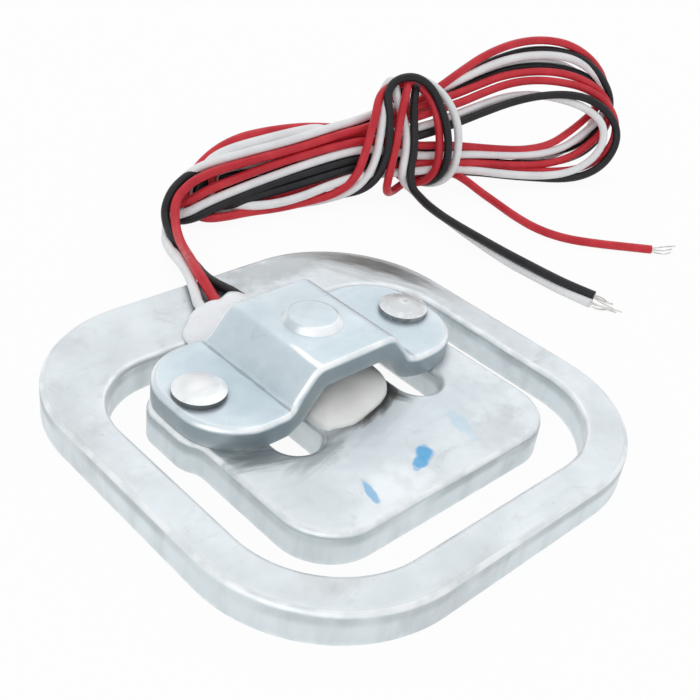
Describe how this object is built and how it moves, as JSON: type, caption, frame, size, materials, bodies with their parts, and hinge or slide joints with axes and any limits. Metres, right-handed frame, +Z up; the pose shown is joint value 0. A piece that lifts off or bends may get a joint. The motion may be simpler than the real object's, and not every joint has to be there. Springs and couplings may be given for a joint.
{
  "type": "half-bridge load cell",
  "caption": "Square stamped-steel strain gauge sensor with a riveted load bridge, soft coat and tied signal wires, measures force pressed on its dimple.",
  "frame": {"origin": "bottom centre of the square plate", "axes": "+Z up from the ring's underside to the load dimple, +X from the left rivet to the right rivet, +Y from the spine to the back bar where the wires leave"},
  "size_m": [0.0722, 0.0488, 0.0144],
  "materials": {
    "plate_steel": "satin zinc plate, bluish white",
    "bridge_steel": "satin zinc plate, bluish white",
    "rivet_steel": "satin plated",
    "gauge_film": "satin",
    "gauge_foil": "satin",
    "solder": "bright",
    "silicone": "satin",
    "adhesive": "satin",
    "white_insulation": "satin",
    "black_insulation": "satin",
    "red_insulation": "satin",
    "wire_bundle": "satin",
    "tinned_strands": "satin"
  },
  "bodies": {
    "root": {"sensor_plate": "plate_steel", "load_bridge": "bridge_steel", "left_rivet": "rivet_steel", "right_rivet": "rivet_steel", "gauge_backing": "gauge_film", "gauge_foil": "gauge_foil", "white_solder_joint": "solder", "black_solder_joint": "solder", "red_solder_joint": "solder", "silicone_coat": "silicone", "exit_adhesive": "adhesive", "white_inner_wire": "white_insulation", "black_inner_wire": "black_insulation", "red_inner_wire": "red_insulation", "white_lead": "white_insulation", "black_lead": "black_insulation", "red_lead": "red_insulation", "wire_hank": "wire_bundle", "white_free_end": "white_insulation", "black_free_end": "black_insulation", "red_free_end": "red_insulation", "white_bare_tip": "tinned_strands", "black_bare_tip": "tinned_strands", "red_bare_tip": "tinned_strands"}
  },
  "joints": []
}
